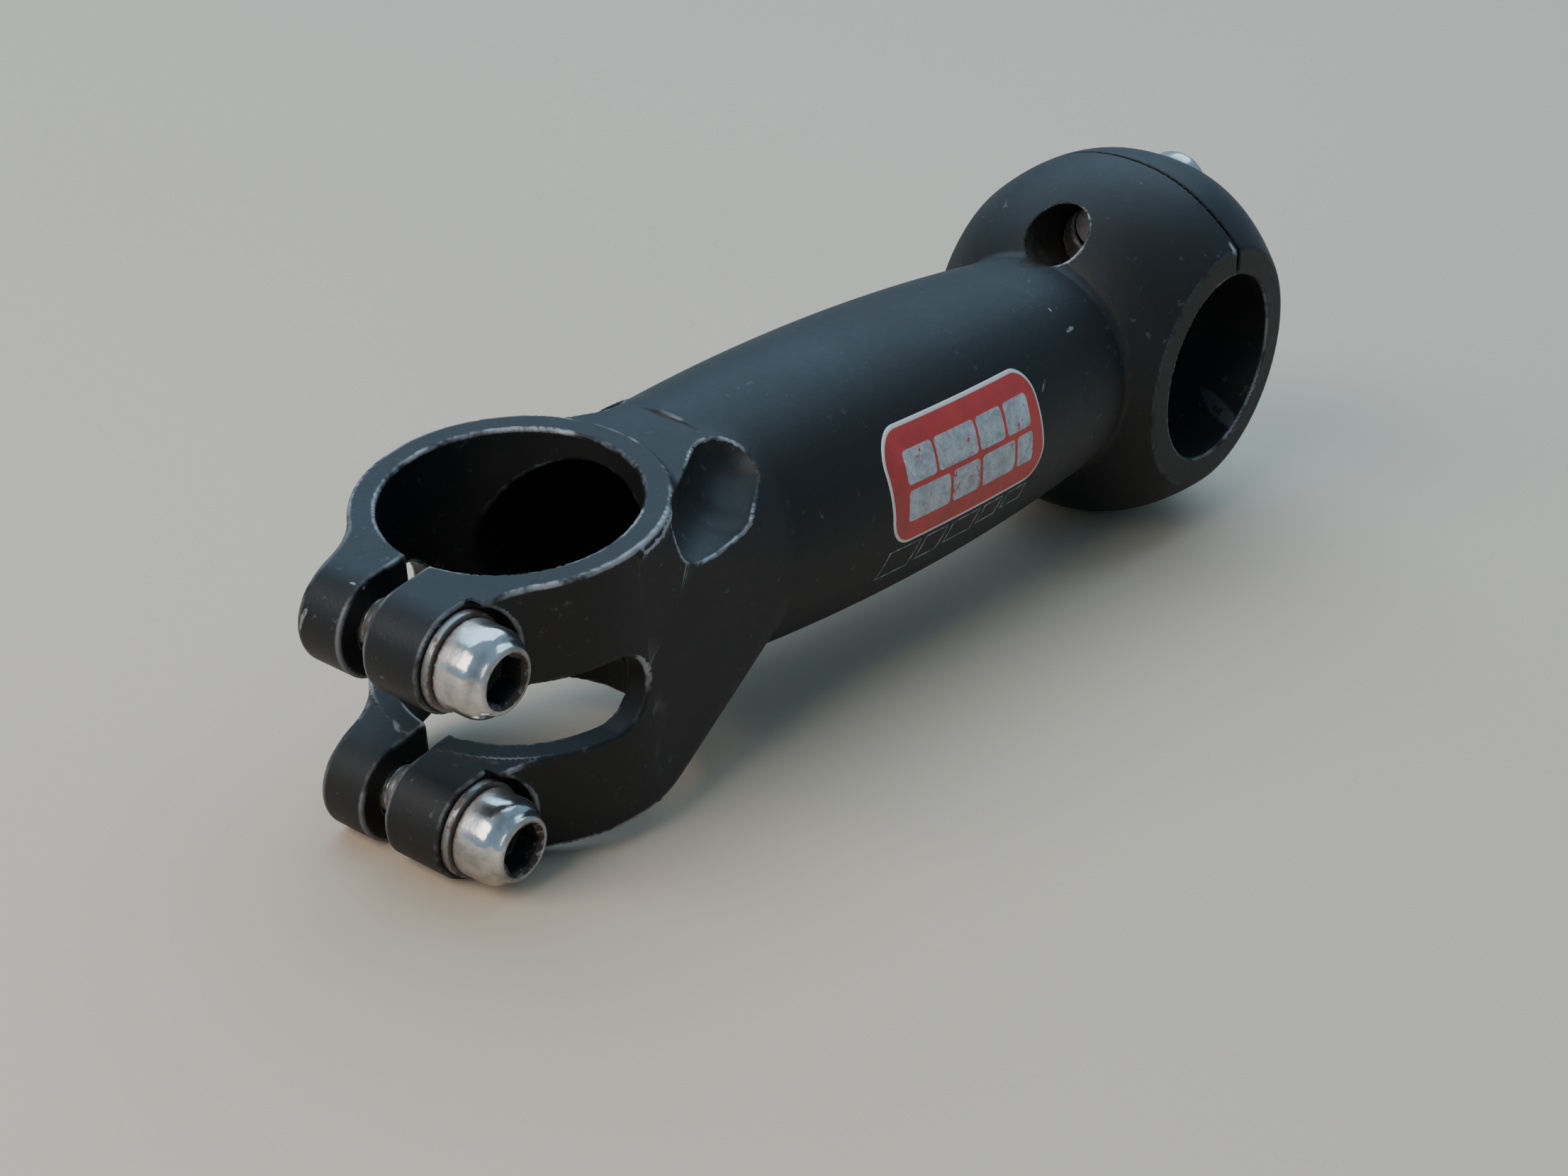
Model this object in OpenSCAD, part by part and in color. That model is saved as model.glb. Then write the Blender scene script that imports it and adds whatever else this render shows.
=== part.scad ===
// Threadless handlebar stem: one forged and machined body with a split steerer clamp at the back, a hollow
// round extension and a barrel-shaped handlebar clamp at the front, closed by three socket head screws.
// Millimetres. +X runs forwards along the extension, +Y to the rider's left, +Z up from the flat surface
// that the stem lies on. The origin is the centre of the steerer clamp's bore.

/* [Steerer clamp] */
// Diameter of the bore that takes the steerer tube
steerer_bore_d = 28.6; // [28.6:0.1:29]
// Radial relief of the bore between the clamp's upper and lower half
bore_relief = 0.15; // [0.1:0.05:0.3]
// Outside diameter of the clamp ring
ring_d = 34.7; // [34:0.1:36]
// Height of the clamp along the steerer
clamp_h = 34; // [32:0.5:40]
// Distance from the steerer axis back to the clamp screws
screw_back = 19; // [18:0.5:21]
// Distance between the two clamp screws
screw_spacing = 21.8; // [21:0.1:24]
// Radius of the round ears that the clamp screws pass through
ear_r = 6.1; // [5.8:0.1:6.4]
// Side flat of the right ears, from the middle plane
ear_right_y = 10.85; // [10:0.05:12]
// Side flat of the left ears, from the middle plane
ear_left_y = 8; // [7.5:0.1:12]
// Radius of the hollow that blends an ear into the ring
ear_fillet_r = 14; // [10:1:16]
// Width of the slit between the ears
slit_w = 3.2; // [1.5:0.1:4]
// Front end of the window between the upper and lower half of the clamp
window_front = 0.8; // [-2:0.1:2]
// Seat of the clamp screws' washers, from the middle plane
seat_y = 9.2; // [8.5:0.1:9.5]
// Diameter of the spot faces around the clamp screws
spot_face_d = 12.4; // [12:0.1:13]

/* [Extension] */
// Distance along X from the steerer axis to the handlebar's centre, square to the steerer
reach = 120; // [110:1:130]
// Angle that the extension drops from square to the steerer
drop_angle = 10.2; // [6:0.1:12]
// Height of the extension's axis over the clamp's middle, at the steerer axis
axis_rise = 3.4; // [2:0.1:4]
// Outside radius of the extension, as a base, a slope and a curve over each 100 mm
tube_r_base = 12.96; // [12.5:0.01:13.5]
// Growth of the radius over 100 mm
tube_r_slope = 14.9; // [14:0.1:15.5]
// Fall of the radius over 100 mm squared
tube_r_curve = 12.74; // [12:0.01:13]
// Diameter of the hollow inside the extension
hollow_d = 25.6; // [20:0.1:26]
// Solid length left between the hollow and the handlebar's centre
hollow_stop = 25; // [24:1:40]
// Distance from the steerer axis to where the neck's top and underside run out into the round tube
neck_len = 29; // [27:1:31]
// How far the round tube stands out of the neck's end
neck_inset = 0.4; // [0.2:0.1:0.6]
// Distance from the steerer axis to where the round tube begins in the neck's flanks
tube_start = 23.5; // [22:0.5:25]
// Drop from the clamp's top face to the neck
neck_step = 1.7; // [1:0.1:2.5]
// Radius of the round cutter that mills the scallop in each flank of the neck
scallop_r = 5.6; // [5.2:0.1:6]
// Where the cutter's middle starts: forwards, outwards, upwards
scallop_from = [12.9, 18.5, 14];
// Where the cutter's middle stops
scallop_to = [24.2, 12.2, 14.4];

/* [Handlebar clamp] */
// Diameter of the bore that takes the handlebar
bar_bore_d = 26; // [25.4:0.1:26]
// Width of the clamp along the handlebar
head_w = 36; // [34:1:40]
// Largest diameter of the barrel, at its middle
head_d = 50.4; // [50:0.1:52]
// Diameter of the barrel at its end faces
head_end_d = 33.6; // [32:0.1:35]
// Power of the barrel's curve from its middle to its ends
head_power = 2.26; // [2:0.01:2.6]
// Distance in front of the handlebar's centre to the slit
head_slit_x = 3.6; // [3:0.1:4]
// Width of the slit that the handlebar screw closes
head_slit_w = 0.4; // [0.3:0.1:1.2]
// Distance from the handlebar's axis to its screw's axis
bar_screw_up = 17.3; // [17.2:0.1:17.6]
// Angle that the handlebar screw drops towards the front
bar_screw_angle = 7; // [5:1:9]
// Seat of the handlebar screw's washer, in front of the handlebar's axis
bar_seat = 10.2; // [10:0.1:11]
// Diameter of the pocket around the handlebar screw's head
pocket_d = 12; // [11.6:0.1:12.4]
// Diameter of the relief hole that meets the end of the handlebar screw's thread from behind
relief_d = 8.7; // [8:0.1:9]
// Angle that the relief hole drops towards the front
relief_angle = 25; // [24:1:28]
// Distance from the handlebar's axis to the relief hole's axis
relief_up = 12.7; // [12.5:0.1:13]
// Distance behind the handlebar's axis where the relief hole stops
relief_floor = 11.5; // [11:0.1:12]
// Length of thread behind the handlebar's axis
bar_thread_l = 9.5; // [9:0.1:10]

/* [Screws] */
// Thread diameter of all three screws
screw_d = 6; // [6:6]
// Length of a clamp screw under its head
clamp_screw_l = 18; // [16:1:18]
// Length of the handlebar screw under its head
bar_screw_l = 18; // [16:1:18]
// Diameter of a screw head
screw_head_d = 10; // [9.6:0.1:10]
// Height of a screw head
screw_head_h = 6; // [5.5:0.1:6.5]
// Diameter of a screw head's end face
screw_face_d = 7.4; // [7:0.1:8]
// Width of the hexagon socket across its flats
hex_af = 5; // [5:5]
// Depth of the hexagon socket
hex_depth = 3.2; // [2.5:0.1:3.5]
// Outside diameter of a washer
washer_d = 11; // [10.6:0.1:11.4]
// Thickness of a washer
washer_t = 1; // [0.8:0.1:1.2]
// Diameter of a washer's hole
washer_hole_d = 6.4; // [6.3:0.1:6.6]
// Diameter of a plain hole that a screw passes through
clear_hole_d = 6.6; // [6.4:0.1:6.8]
// Radial gap between a screw and its threaded hole, drawn as plain cylinders
thread_gap = 0.05; // [0.03:0.01:0.08]

/* [Badges] */
// Distance from the steerer axis to the near end of a badge, along the extension
badge_start = 46; // [44:0.5:50]
// Length of a badge along the extension
badge_l = 33; // [28:1:34]
// Height of a badge, seen from the side
badge_h = 14.1; // [12:0.1:15]
// Height of a badge's middle over the extension's axis
badge_up = 4; // [3:0.1:5]
// Slant of a badge's ends from upright
badge_slant = 3; // [0:1:12]
// Corner radius of a badge
badge_corner_r = 4; // [2:0.5:5]
// Thickness of a badge
badge_t = 0.15; // [0.1:0.01:0.3]

/* [Edges] */
// Chamfer on the mouths of both clamp bores
bore_chamfer = 0.4; // [0.2:0.1:0.6]
// Rounding of a screw head's outer corner
head_round_r = 1.6; // [1:0.1:2]

/* [Hidden] */
$fn = 96;
hull_fn = 48;                  // facets of the rounds inside the neck's hull
steps = 16;                    // straight steps along a curved outline
far = 60;                      // length of a cutter that has to pass right through
overcut = 1;                   // how far a cutter stands out of what it cuts
ring_r = ring_d / 2;
bore_r = steerer_bore_d / 2;
half_h = clamp_h / 2;
screw_z = screw_spacing / 2;
window_r = screw_z - ear_r;    // half the window's height
tube_end = reach / cos(drop_angle);
bar_z = axis_rise - reach * tan(drop_angle);
head_r = head_d / 2;
half_w = head_w / 2;
neck_top = half_h - neck_step;
neck_r = tube_r(neck_len) - neck_inset;
screw_r = screw_d / 2;
tapped_r = screw_r + thread_gap;
bar_head_y = bar_seat + washer_t;
// Lean that brings the lower ears and the barrel down onto one flat surface
ear_to_head = [reach + screw_back, bar_z + screw_z];
rest_lean = asin((head_r - ear_r) / norm(ear_to_head)) - atan2(ear_to_head[1], ear_to_head[0]);

// Outside radius of the extension at a distance s along its axis
function tube_r(s) = let (t = s * cos(drop_angle) / 100) tube_r_base + tube_r_slope * t - tube_r_curve * t * t;
// Radius of the barrel at a distance y from its middle
function barrel_r(y) = head_r - (head_d - head_end_d) / 2 * pow(abs(y) / half_w, head_power);

// From the clamp's own frame, with the steerer upright, to the frame of the whole part
module lay_down() { rotate([0, -rest_lean, 0]) children(); }
// Z along the extension's axis, away from the steerer; X up
module along_extension() {
    translate([0, 0, axis_rise]) rotate([0, 90 + drop_angle, 0]) rotate([0, 0, 180]) children();
}
// Z along a clamp screw, out of its head; origin on the middle plane
module along_clamp_screw(side) { translate([-screw_back, 0, side * screw_z]) rotate([90, 0, 0]) children(); }
// Z along the handlebar screw, out of its head; origin right over the handlebar's axis
module along_bar_screw() {
    translate([reach, 0, bar_z]) rotate([0, 90 + bar_screw_angle, 0]) translate([-bar_screw_up, 0, 0]) children();
}
module at_bar() { translate([reach, 0, bar_z]) children(); }
module rod(r, z0, z1) { translate([0, 0, z0]) cylinder(r = r, h = z1 - z0); }

// Ring and ears seen along the steerer, with hollows that blend each side flat into the ring
module clamp_plan() {
    circle(r = ring_r);
    ear_plan(ear_left_y);
    mirror([0, 1, 0]) ear_plan(ear_right_y);
}
module ear_plan(flat_y) {
    reach_out = ring_r + ear_fillet_r;
    hollow_y = flat_y + ear_fillet_r;
    hollow_x = -sqrt(reach_out * reach_out - hollow_y * hollow_y);
    touch = [hollow_x, hollow_y] * ring_r / reach_out;
    difference() {
        polygon([[0, 0], touch, [hollow_x, hollow_y], [hollow_x, flat_y], [-far, flat_y], [-far, 0]]);
        translate([hollow_x, hollow_y]) circle(r = ear_fillet_r);
    }
}
// One arm of the clamp from the side, with its round ear
module arm_side(side) {
    translate([-screw_back, side * screw_z]) circle(r = ear_r);
    translate([-screw_back, side * screw_z - ear_r]) square([screw_back, 2 * ear_r]);
}
module clamp_block() {
    rod(ring_r, -half_h, half_h);
    intersection() {
        translate([0, 0, -half_h]) linear_extrude(clamp_h) clamp_plan();
        rotate([90, 0, 0]) translate([0, 0, -far]) linear_extrude(2 * far) { arm_side(1); arm_side(-1); }
    }
}
// Neck from the ring to the round tube; its underside is milled flush with the clamp
module neck() {
    intersection() {
        hull() {
            rod(ring_r, -half_h, neck_top, $fn = hull_fn);
            along_extension() translate([0, 0, neck_len]) cylinder(r = neck_r, h = 1, $fn = hull_fn);
        }
        translate([0, -far / 2, -half_h]) cube([far, far, far]);
    }
}
module extension_outline(extra) {
    points = [for (i = [0:steps]) let (s = tube_start + (tube_end - tube_start) * i / steps) [tube_r(s) + extra, s]];
    polygon(concat([[0, tube_start]], points, [[0, tube_end]]));
}
module extension(extra = 0) { along_extension() rotate_extrude() extension_outline(extra); }
// The tube, cut level with the clamp's underside next to the neck
module extension_tube() {
    difference() {
        extension();
        translate([0, -far / 2, -half_h - far]) cube([neck_len, far, far]);
    }
}
module barrel() {
    points = [for (i = [-steps:steps]) let (y = half_w * i / steps) [barrel_r(y), y]];
    at_bar() rotate([90, 0, 0]) rotate_extrude() polygon(concat([[0, -half_w]], points, [[0, half_w]]));
}
// Relieved over the window's height, so that the steerer bears on the upper and the lower half of the clamp
module steerer_bore() {
    rod(bore_r, -half_h - overcut, half_h + overcut);
    rod(bore_r + bore_relief, -window_r, window_r);
    for (s = [0, 1]) mirror([0, 0, s]) translate([0, 0, half_h - bore_chamfer])
        cylinder(r1 = bore_r, r2 = bore_r + bore_chamfer + overcut, h = bore_chamfer + overcut);
}
module clamp_slit() { translate([-far, -slit_w / 2, -half_h - overcut]) cube([far, slit_w, clamp_h + 2 * overcut]); }
module clamp_window() {
    tip = window_front - window_r;
    translate([tip, 0, 0]) rotate([90, 0, 0]) rod(window_r, -far, far);
    translate([tip - far, -far, -window_r]) cube([far, 2 * far, 2 * window_r]);
}
module hollow() {
    stop = tube_end - hollow_stop;
    cone = hollow_d / 4;
    along_extension() {
        rod(hollow_d / 2, 0, stop - cone);
        translate([0, 0, stop - cone]) cylinder(r1 = hollow_d / 2, r2 = hollow_d / 4, h = cone);
    }
}
// Clearance hole and spot face on the right, threaded hole through the left ear
module clamp_screw_holes(side) {
    along_clamp_screw(side) {
        rod(clear_hole_d / 2, 0, far);
        rod(tapped_r, -far, 0);
        rod(spot_face_d / 2, seat_y, far);
    }
}
module bar_bore() {
    at_bar() rotate([90, 0, 0]) {
        rod(bar_bore_d / 2, -far, far);
        for (s = [0, 1]) mirror([0, 0, s]) translate([0, 0, half_w - bore_chamfer])
            cylinder(r1 = bar_bore_d / 2, r2 = bar_bore_d / 2 + bore_chamfer + overcut, h = bore_chamfer + overcut);
    }
}
module head_slit() { at_bar() translate([head_slit_x - head_slit_w / 2, -far / 2, 0]) cube([head_slit_w, far, far]); }
module bar_screw_hole() {
    along_bar_screw() {
        rod(clear_hole_d / 2, 0, far);
        rod(tapped_r, -bar_thread_l, overcut);
        rod(pocket_d / 2, bar_seat, far);
    }
}
module relief_hole() {
    at_bar() rotate([0, 90 + relief_angle, 0]) translate([-relief_up, 0, 0]) rod(relief_d / 2, -far, -relief_floor);
}
module ball(r) { rotate_extrude() intersection() { circle(r = r); translate([0, -far / 2]) square(far); } }
module scallops() {
    run = scallop_to - scallop_from;
    turn = [0, acos(run[2] / norm(run)), atan2(run[1], run[0])];
    for (s = [0, 1]) mirror([0, s, 0]) translate(scallop_from) rotate(turn) {
        ball(scallop_r);
        rod(scallop_r, 0, norm(run));
        translate([0, 0, norm(run)]) ball(scallop_r);
    }
}
module socket_screw(length) {
    corner = screw_head_d / 2 - head_round_r;
    difference() {
        rotate_extrude() polygon(concat(
            [[0, -length], [screw_r - 0.6, -length], [screw_r, -length + 0.6], [screw_r, 0]],
            [[screw_head_d / 2 - 0.3, 0], [screw_head_d / 2, 0.5]],
            [for (a = [0:15:60]) [corner + head_round_r * cos(a), screw_head_h - 2.6 + head_round_r * sin(a)]],
            [[screw_face_d / 2, screw_head_h], [0, screw_head_h]]));
        translate([0, 0, screw_head_h - hex_depth]) cylinder(d = hex_af / cos(30), h = far, $fn = 6);
    }
}
module washer() {
    difference() {
        rod(washer_d / 2, 0, washer_t);
        rod(washer_hole_d / 2, -overcut, washer_t + overcut);
    }
}
// Slanted outline of a badge with round corners, centred on its middle
module badge_outline() {
    shear = tan(badge_slant) * badge_h / 2;
    corner = [badge_l / 2 - badge_corner_r, badge_h / 2 - badge_corner_r];
    hull() for (sx = [-1, 1], sz = [-1, 1])
        translate([sx * corner[0] - sz * shear, sz * corner[1]]) circle(r = badge_corner_r);
}
// Thin skin on the tube; side is -1 for the right badge and 1 for the left one
module badge(side) {
    middle = badge_start + badge_l / 2;
    intersection() {
        difference() { extension(badge_t); extension(); }
        translate([0, 0, axis_rise]) rotate([0, drop_angle, 0]) translate([middle, 0, badge_up]) rotate([90, 0, 0])
            translate([0, 0, side < 0 ? 0 : -far]) linear_extrude(far) badge_outline();
    }
}

module stem_body() {
    color([0.09, 0.10, 0.12]) lay_down() difference() {
        union() { clamp_block(); neck(); extension_tube(); barrel(); }
        steerer_bore();
        clamp_slit();
        clamp_window();
        hollow();
        for (side = [-1, 1]) clamp_screw_holes(side);
        bar_bore();
        head_slit();
        bar_screw_hole();
        relief_hole();
        scallops();
    }
}
module clamp_bolt(side) {
    color([0.78, 0.79, 0.80]) lay_down() along_clamp_screw(side) translate([0, 0, seat_y + washer_t])
        socket_screw(clamp_screw_l);
}
module clamp_washer(side) {
    color([0.60, 0.60, 0.58]) lay_down() along_clamp_screw(side) translate([0, 0, seat_y]) washer();
}
module clamp_bolt_upper() { clamp_bolt(1); }
module clamp_bolt_lower() { clamp_bolt(-1); }
module clamp_washer_upper() { clamp_washer(1); }
module clamp_washer_lower() { clamp_washer(-1); }
module bar_bolt() {
    color([0.78, 0.79, 0.80]) lay_down() along_bar_screw() translate([0, 0, bar_head_y]) socket_screw(bar_screw_l);
}
module bar_bolt_washer() { color([0.60, 0.60, 0.58]) lay_down() along_bar_screw() translate([0, 0, bar_seat]) washer(); }
module badge_right() { color([0.70, 0.10, 0.11]) lay_down() badge(-1); }
module badge_left() { color([0.70, 0.10, 0.11]) lay_down() badge(1); }

stem_body();
clamp_bolt_upper();
clamp_bolt_lower();
clamp_washer_upper();
clamp_washer_lower();
bar_bolt();
bar_bolt_washer();
badge_right();
badge_left();
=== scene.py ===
import math
import bpy
import numpy as np
from mathutils import Matrix, Vector


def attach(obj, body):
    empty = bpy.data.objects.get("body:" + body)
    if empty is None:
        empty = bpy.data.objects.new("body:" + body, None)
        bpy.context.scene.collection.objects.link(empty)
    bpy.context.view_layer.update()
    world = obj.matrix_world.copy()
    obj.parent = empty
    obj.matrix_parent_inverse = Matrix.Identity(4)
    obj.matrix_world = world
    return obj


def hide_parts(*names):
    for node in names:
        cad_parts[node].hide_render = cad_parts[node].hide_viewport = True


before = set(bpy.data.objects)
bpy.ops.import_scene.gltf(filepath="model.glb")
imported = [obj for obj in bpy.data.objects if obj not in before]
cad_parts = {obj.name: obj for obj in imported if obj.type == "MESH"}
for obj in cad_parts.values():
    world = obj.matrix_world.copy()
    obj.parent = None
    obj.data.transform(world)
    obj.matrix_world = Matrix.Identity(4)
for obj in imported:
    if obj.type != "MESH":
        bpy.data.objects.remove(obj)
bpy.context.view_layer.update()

# All shapes are made in millimetres in the clamp's own frame (steerer upright, origin in its bore, +X along
# the extension), then laid down by LEAN and scaled to metres, as the CAD does.
MM = 0.001
LEAN = math.radians(10.8901)
FLOOR_Z = -0.02039

# Sizes repeated from the CAD
RING_R, BORE_R, HALF_H, STEP_Z = 17.35, 14.3, 17.0, 15.3
SCREW_X, SCREW_Z, EAR_R = -19.0, 10.9, 6.1
EAR_RIGHT, EAR_LEFT, EAR_FILLET = 10.85, 8.0, 14.0
SLIT_HALF, WINDOW_R, WINDOW_TIP = 1.6, 4.8, 0.8
SEAT_Y, SPOT_R, CLEAR_R, TAPPED_R = 9.2, 6.2, 3.3, 3.05
REACH, DROP, RISE = 120.0, math.radians(10.2), 3.4
TUBE_R = (12.96, 14.9, -12.74)
TUBE_START, NECK_LEN, NECK_INSET = 23.5, 29.0, 0.4
HOLLOW_R, HOLLOW_STOP = 12.8, 96.9
BAR_X, BAR_Z = 120.0, RISE - REACH * math.tan(DROP)
BAR_BORE, HEAD_R, HEAD_END, HEAD_POWER, HALF_W = 13.0, 25.2, 16.8, 2.26, 18.0
HEAD_SLIT_X, HEAD_SLIT_HALF = 3.6, 0.2
BAR_UP, BAR_ANGLE, BAR_SEAT, BAR_TAP_END, POCKET_R = 17.3, math.radians(7), 10.2, -9.5, 6.0
RELIEF_R, RELIEF_ANGLE, RELIEF_UP, RELIEF_FLOOR = 4.2, math.radians(25), 12.95, 11.5
SCALLOP_R = 5.0
SCALLOP_PATH = ((12.5, 17.4, 13.9), (19.9, 13.7, 12.8), (24.5, 11.4, 14.2))
BADGE_START, BADGE_L, BADGE_H, BADGE_UP = 46.0, 33.0, 14.1, 4.0
BADGE_SLANT, BADGE_CORNER, BADGE_T, BADGE_SUNK = math.radians(3), 4.0, 0.13, 0.01
SHANK_R, SCREW_LENGTH, SOCKET_AF, SOCKET_DEPTH = 2.98, 18.0, 5.0, 3.2
HEAD_OUT_R, HEAD_OUT_H = 5.0, 5.9
WASHER_R, WASHER_BORE_R, WASHER_T = 5.5, 3.2, 1.0

# Sizes of the visual model only
BAR_SIDE, BARREL_FROM = 80.0, 95.0   # the handlebar clamp's cuts and its ends stay past these x
NET_STEP, TRIANGLES = 0.42, 196000   # grid of the surface net, and what is kept of it
FAR, DEEP, NECK_FAR = 99.0, -9.0, 12.0   # distances that count as outside, inside, off the neck
SEGMENTS = 60                        # around a screw or washer

CD, SD = math.cos(DROP), math.sin(DROP)
ANGLE = np.linspace(0, 2 * np.pi, SEGMENTS, endpoint=False)


def turned(x, z, angle):
    ca, sa = math.cos(angle), math.sin(angle)
    return x * ca - z * sa, x * sa + z * ca


def lay_down(points):
    x, z = turned(points[:, 0], points[:, 2], LEAN)
    return np.stack([x, points[:, 1], z], axis=1)


# ---------------------------------------------------------------- camera
def add(name, data):
    obj = bpy.data.objects.new(name, data)
    bpy.context.scene.collection.objects.link(obj)
    return obj


camera_data = bpy.data.cameras.new("camera")
camera_data.sensor_width = 36
camera_data.lens = 68.131
camera_data.clip_start = 0.01
camera = add("camera", camera_data)
right = Vector((0.60322187, -0.79283474, 0.0868127))
down = Vector((-0.29721408, -0.32445998, -0.89799194))
forward = Vector((0.74012645, 0.51588642, -0.431363))
camera.matrix_world = Matrix.Translation((-0.22203, -0.18903, 0.14679)) @ \
    Matrix((right, -down, -forward)).transposed().to_4x4()
bpy.context.scene.camera = camera


# ---------------------------------------------------------------- node helpers
class Nodes:
    def __init__(self, name):
        self.material = bpy.data.materials.new(name)
        self.material.use_nodes = True
        self.tree = self.material.node_tree
        self.shader = self.tree.nodes["Principled BSDF"]

    def link(self, a, b):
        self.tree.links.new(a, b)

    def put(self, value, socket):
        if isinstance(value, bpy.types.NodeSocket):
            self.link(value, socket)
        else:
            socket.default_value = value

    def set(self, **values):
        for name, value in values.items():
            self.put(value, self.shader.inputs[name.replace("_", " ")])

    def coords(self):
        return self.tree.nodes.new("ShaderNodeTexCoord").outputs["Object"]

    def attribute(self, name, output="Fac"):
        node = self.tree.nodes.new("ShaderNodeAttribute")
        node.attribute_name = name
        return node.outputs[output]

    def noise(self, scale, detail=3, rough=0.55, output="Fac"):
        node = self.tree.nodes.new("ShaderNodeTexNoise")
        self.link(self.coords(), node.inputs["Vector"])
        node.inputs["Scale"].default_value = scale
        node.inputs["Detail"].default_value = detail
        node.inputs["Roughness"].default_value = rough
        return node.outputs[output]

    def math(self, kind, a, b=0.0, c=0.0):
        node = self.tree.nodes.new("ShaderNodeMath")
        node.operation = kind
        for value, socket in zip((a, b, c), node.inputs):
            self.put(value, socket)
        return node.outputs[0]

    def times(self, a, b):
        return self.math("MULTIPLY", a, b)

    def steps(self, value, low, high, out_low=0.0, out_high=1.0):
        node = self.tree.nodes.new("ShaderNodeMapRange")
        node.interpolation_type = "SMOOTHSTEP"
        self.put(value, node.inputs["Value"])
        ends = {"From Min": low, "From Max": high, "To Min": out_low, "To Max": out_high}
        for key, number in ends.items():
            self.put(number, node.inputs[key])
        return node.outputs["Result"]

    def mix(self, factor, a, b):
        node = self.tree.nodes.new("ShaderNodeMix")
        node.data_type = "RGBA"
        self.put(factor, node.inputs[0])
        for value, socket in ((a, node.inputs[6]), (b, node.inputs[7])):
            self.put((*value, 1) if isinstance(value, tuple) else value, socket)
        return node.outputs[2]

    def bump(self, height, strength, distance):
        node = self.tree.nodes.new("ShaderNodeBump")
        node.inputs["Strength"].default_value = strength
        node.inputs["Distance"].default_value = distance
        self.link(height, node.inputs["Height"])
        self.link(node.outputs["Normal"], self.shader.inputs["Normal"])

    def xyz(self, vector):
        node = self.tree.nodes.new("ShaderNodeSeparateXYZ")
        self.link(vector, node.inputs[0])
        return node.outputs


# ---------------------------------------------------------------- materials
# How far the outlines of scuffs wander, in metres
WOBBLE = 0.00025
# Knocks and scratches: two ends, half width and strength, in millimetres in the clamp's frame
SCUFFS = (
    ((-20.5, 3.5, 17.0), (-20.0, 1.8, 16.6), 0.22, 0.55),
    ((-15.6, -6.4, 17.0), (-13.9, -10.6, 17.0), 0.35, 0.5),
    ((-20.2, -7.7, 16.9), (-20.2, -9.4, 16.0), 0.35, 0.7),
    ((-13.8, 10.3, 17.0), (-13.4, 9.6, 17.0), 0.22, 0.6),
    ((-23.8, 7.0, 14.6), (-24.4, 7.6, 12.0), 0.25, 0.4),
    ((-15.1, 6.0, -4.8), (-16.3, 3.4, -4.8), 0.45, 0.28),
    ((15.8, -7.4, 16.8), (15.3, -9.4, 15.8), 0.4, 0.9),
    ((92.2, -7.8, 1.2), (92.3, -8.4, 0.8), 0.18, 0.9),
    ((92.3, -10.9, -1.3), (93.8, -10.6, -1.4), 0.32, 0.5),
    ((92.8, -14.0, -5.5), (91.5, -14.5, -6.2), 0.18, 0.7),
    ((80.4, -15.0, -3.6), (82.8, -14.1, -2.2), 0.25, 0.4),
    ((103.7, -14.1, -5.9), (106.1, -17.2, -7.3), 0.3, 0.55),
    ((123.0, -16.6, -0.6), (123.0, -17.6, -1.8), 0.5, 0.8),
    ((103.4, -17.8, -14.5), (103.6, -18.0, -16.6), 0.35, 0.9),
    ((105.7, -17.8, -8.8), (105.7, -18.0, -9.9), 0.3, 0.7),
    ((4.2, -17.2, 3.0), (4.9, -17.2, 1.4), 0.18, 0.4),
    ((5.6, 13.1, 5.6), (5.8, 13.1, 0.8), 0.35, 0.35),
    ((128.5, -11.0, -27.6), (126.0, -17.5, -30.0), 1.2, 0.10),
    ((60.0, 13.5, 1.5), (63.5, 12.6, 2.6), 0.2, 0.6),
    ((108.0, 15.8, -6.0), (111.0, 16.8, -7.4), 0.3, 0.6),
    ((-16.5, 7.9, -12.0), (-14.0, 8.0, -10.5), 0.3, 0.6),
    ((40.0, -3.0, -20.2), (52.0, 2.5, -22.8), 0.4, 0.4),
    ((30.0, 3.0, -18.8), (34.0, 5.5, -19.0), 0.3, 0.5),
    ((-8.0, 11.0, -17.0), (3.0, 15.5, -17.0), 0.4, 0.5),
)


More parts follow.
